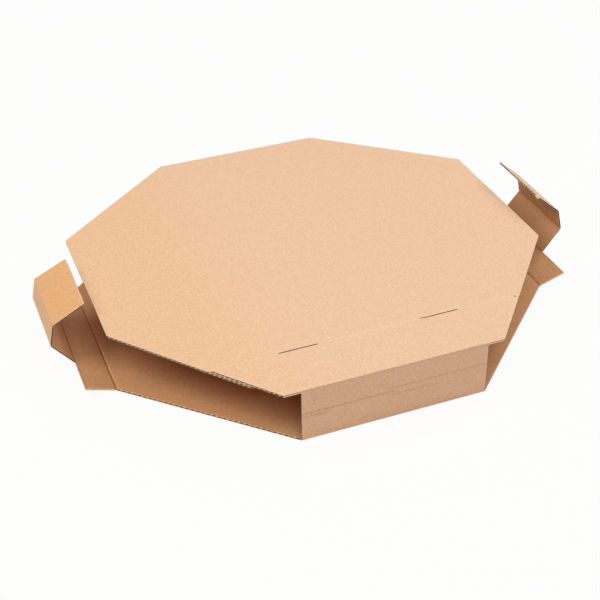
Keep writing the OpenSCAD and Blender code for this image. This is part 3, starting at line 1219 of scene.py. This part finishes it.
def kraft(name, colour, texture, drifts=(), marks=(), crease_shades=(), grooves=()):
    """Kraft paper: blotches, grain, fibres and faint flute lines of painted shade over a base colour, with any painted
    shade and highlight lines given.
    """
    mottle, grain, fibre, flute_valley_shade = texture
    paint = bpy.data.materials.new(name)
    paint.use_nodes = True
    make = Nodes(paint.node_tree)
    shader = paint.node_tree.nodes["Principled BSDF"]
    flat = make.add("ShaderNodeUVMap", uv_map="sheet").outputs[0]
    blotches = make.noise(make.stretched(flat, 1, 1), *BLOTCH_NOISE)
    grains = make.noise(make.stretched(flat, 1, 1), *GRAIN_NOISE)
    fibres = make.noise(make.stretched(flat, *FIBRE_STRETCH), *FIBRE_NOISE)
    split = make.add("ShaderNodeSeparateXYZ")
    make.feed(split.inputs[0], flat)
    angle = make.math("MULTIPLY", split.outputs[1], 2 * math.pi / PITCH)
    lines = make.math("COSINE", angle)
    tone = make.math("MULTIPLY", blotches, mottle)
    tone = make.math("ADD", tone, make.math("MULTIPLY", grains, grain))
    tone = make.math("ADD", tone, make.math("MULTIPLY", fibres, fibre))
    # Painted shade along the flutes' valleys
    tone = make.math("ADD", tone, make.math("MULTIPLY", lines, flute_valley_shade))
    tone = make.math("ADD", tone, 1.0)
    for place, radius, dark in marks:
        away = make.add("ShaderNodeVectorMath", operation="DISTANCE")
        make.feed(away.inputs[0], flat)
        away.inputs[1].default_value = (*place, 0)
        spot = make.ramp(away.outputs["Value"], radius / 2, radius, dark, 1.0)
        tone = make.math("MULTIPLY", tone, spot)
    # Painted shade: a dark line along each crease and along the front flap's fold
    for place, start, end, dark in crease_shades:
        away = make.math("ABSOLUTE", make.math("SUBTRACT", split.outputs[1], place))
        worn = make.math("ADD", away, make.math("MULTIPLY", grains, PAINTED_LINE_W / 2))
        line = make.ramp(worn, PAINTED_LINE_W / 4, PAINTED_LINE_W * 0.8, 1 - dark, 0.0)
        begun = make.ramp(split.outputs[0], start - PAINTED_LINE_FADE, start, 0.0, 1.0)
        going = make.ramp(split.outputs[0], end, end + PAINTED_LINE_FADE, 1.0, 0.0)
        line = make.math("MULTIPLY", make.math("MULTIPLY", line, begun), going)
        tone = make.math("MULTIPLY", tone, make.math("SUBTRACT", 1.0, line))
    # Painted shade along the folds, and painted highlight along the crease where the tone is above 1
    for place, dark in grooves:
        away = make.math("ABSOLUTE", make.math("SUBTRACT", split.outputs[0], place))
        worn = make.math("ADD", away, make.math("MULTIPLY", grains, PAINTED_LINE_W * 2))
        line = make.ramp(worn, PAINTED_LINE_W / 4, PAINTED_LINE_W, 1 - dark, 0.0)
        tone = make.math("MULTIPLY", tone, make.math("SUBTRACT", 1.0, line))
    base = colour
    for start, end, drifted in drifts:
        base = make.mix("MIX", make.ramp(split.outputs[0], start, end, 0.0, 1.0), base, drifted)
    shades = make.add("ShaderNodeCombineColor")
    for socket, strength in zip(shades.inputs, WARMTH):
        shade = make.math("MULTIPLY", make.math("SUBTRACT", tone, 1.0), strength)
        make.feed(socket, make.math("ADD", shade, 1.0))
    make.feed(shader.inputs["Base Color"], make.mix("MULTIPLY", 1.0, base, shades.outputs[0]))
    rough = make.math("ADD", make.math("MULTIPLY", fibres, ROUGHNESS_SWING), ROUGHNESS)
    make.feed(shader.inputs["Roughness"], rough)
    shader.inputs["Specular IOR Level"].default_value = SHEEN
    relief = make.math("MULTIPLY", fibres, FIBRE_RELIEF)
    relief = make.math("ADD", relief, make.math("MULTIPLY", lines, LINE_RELIEF))
    relief = make.math("ADD", relief, make.math("MULTIPLY", grains, GRAIN_RELIEF))
    bump = make.add("ShaderNodeBump")
    bump.inputs["Strength"].default_value = RELIEF_STRENGTH
    bump.inputs["Distance"].default_value = RELIEF_DEPTH
    make.feed(bump.inputs["Height"], relief)
    make.feed(shader.inputs["Normal"], bump.outputs[0])
    return paint


# In the order of the outer and inner liners' faces, the board's hollows painted dark as shade, the cut edges, and the
# outer and inner rims
PAINTS = [
    kraft("kraft_outer", (0.88, 0.575, 0.368, 1), OUTER_TEXTURE, DRIFTS, MARKS, CREASE_SHADES),
    kraft("kraft_inner", (0.648, 0.338, 0.158, 1), INNER_TEXTURE, grooves=FOLD_SHADES_AND_HIGHLIGHT),
    # The board's hollows: a very dark brown that stands in for the shade inside them
    kraft("kraft_raw", (0.24, 0.055, 0.014, 1), HOLLOW_SHADE_TEXTURE),
    # Cut edges: partly the cut paper's own paler colour, partly painted highlight
    kraft("kraft_cut_edge", (1.0, 0.74, 0.50, 1), EDGE_TEXTURE),
    # Rims along cut edges: lighter than the faces as painted highlight
    kraft("kraft_outer_rim", (0.98, 0.74, 0.53, 1), EDGE_TEXTURE),
    kraft("kraft_inner_rim", (0.94, 0.57, 0.31, 1), EDGE_TEXTURE),
]

bpy.context.scene.view_settings.view_transform = "Standard"
camera()
world()
for light in LIGHTS:
    soft_box(*light)
floor()
shell()
front_flap()
front_fold()
for side in ("left", "right"):
    panels = side_panels(side)
    for i, panel in enumerate(panels):
        side_panel(panel, panels[i + 1] if i + 1 < len(panels) else None)
    side_folds(side, panels)
torn_bump(panels[-1])

with open("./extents.json", "w") as out:
    json.dump({"cad": [list(c) for c in CAD_BOUNDS], "visual": [list(c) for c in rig.bounds()]}, out)
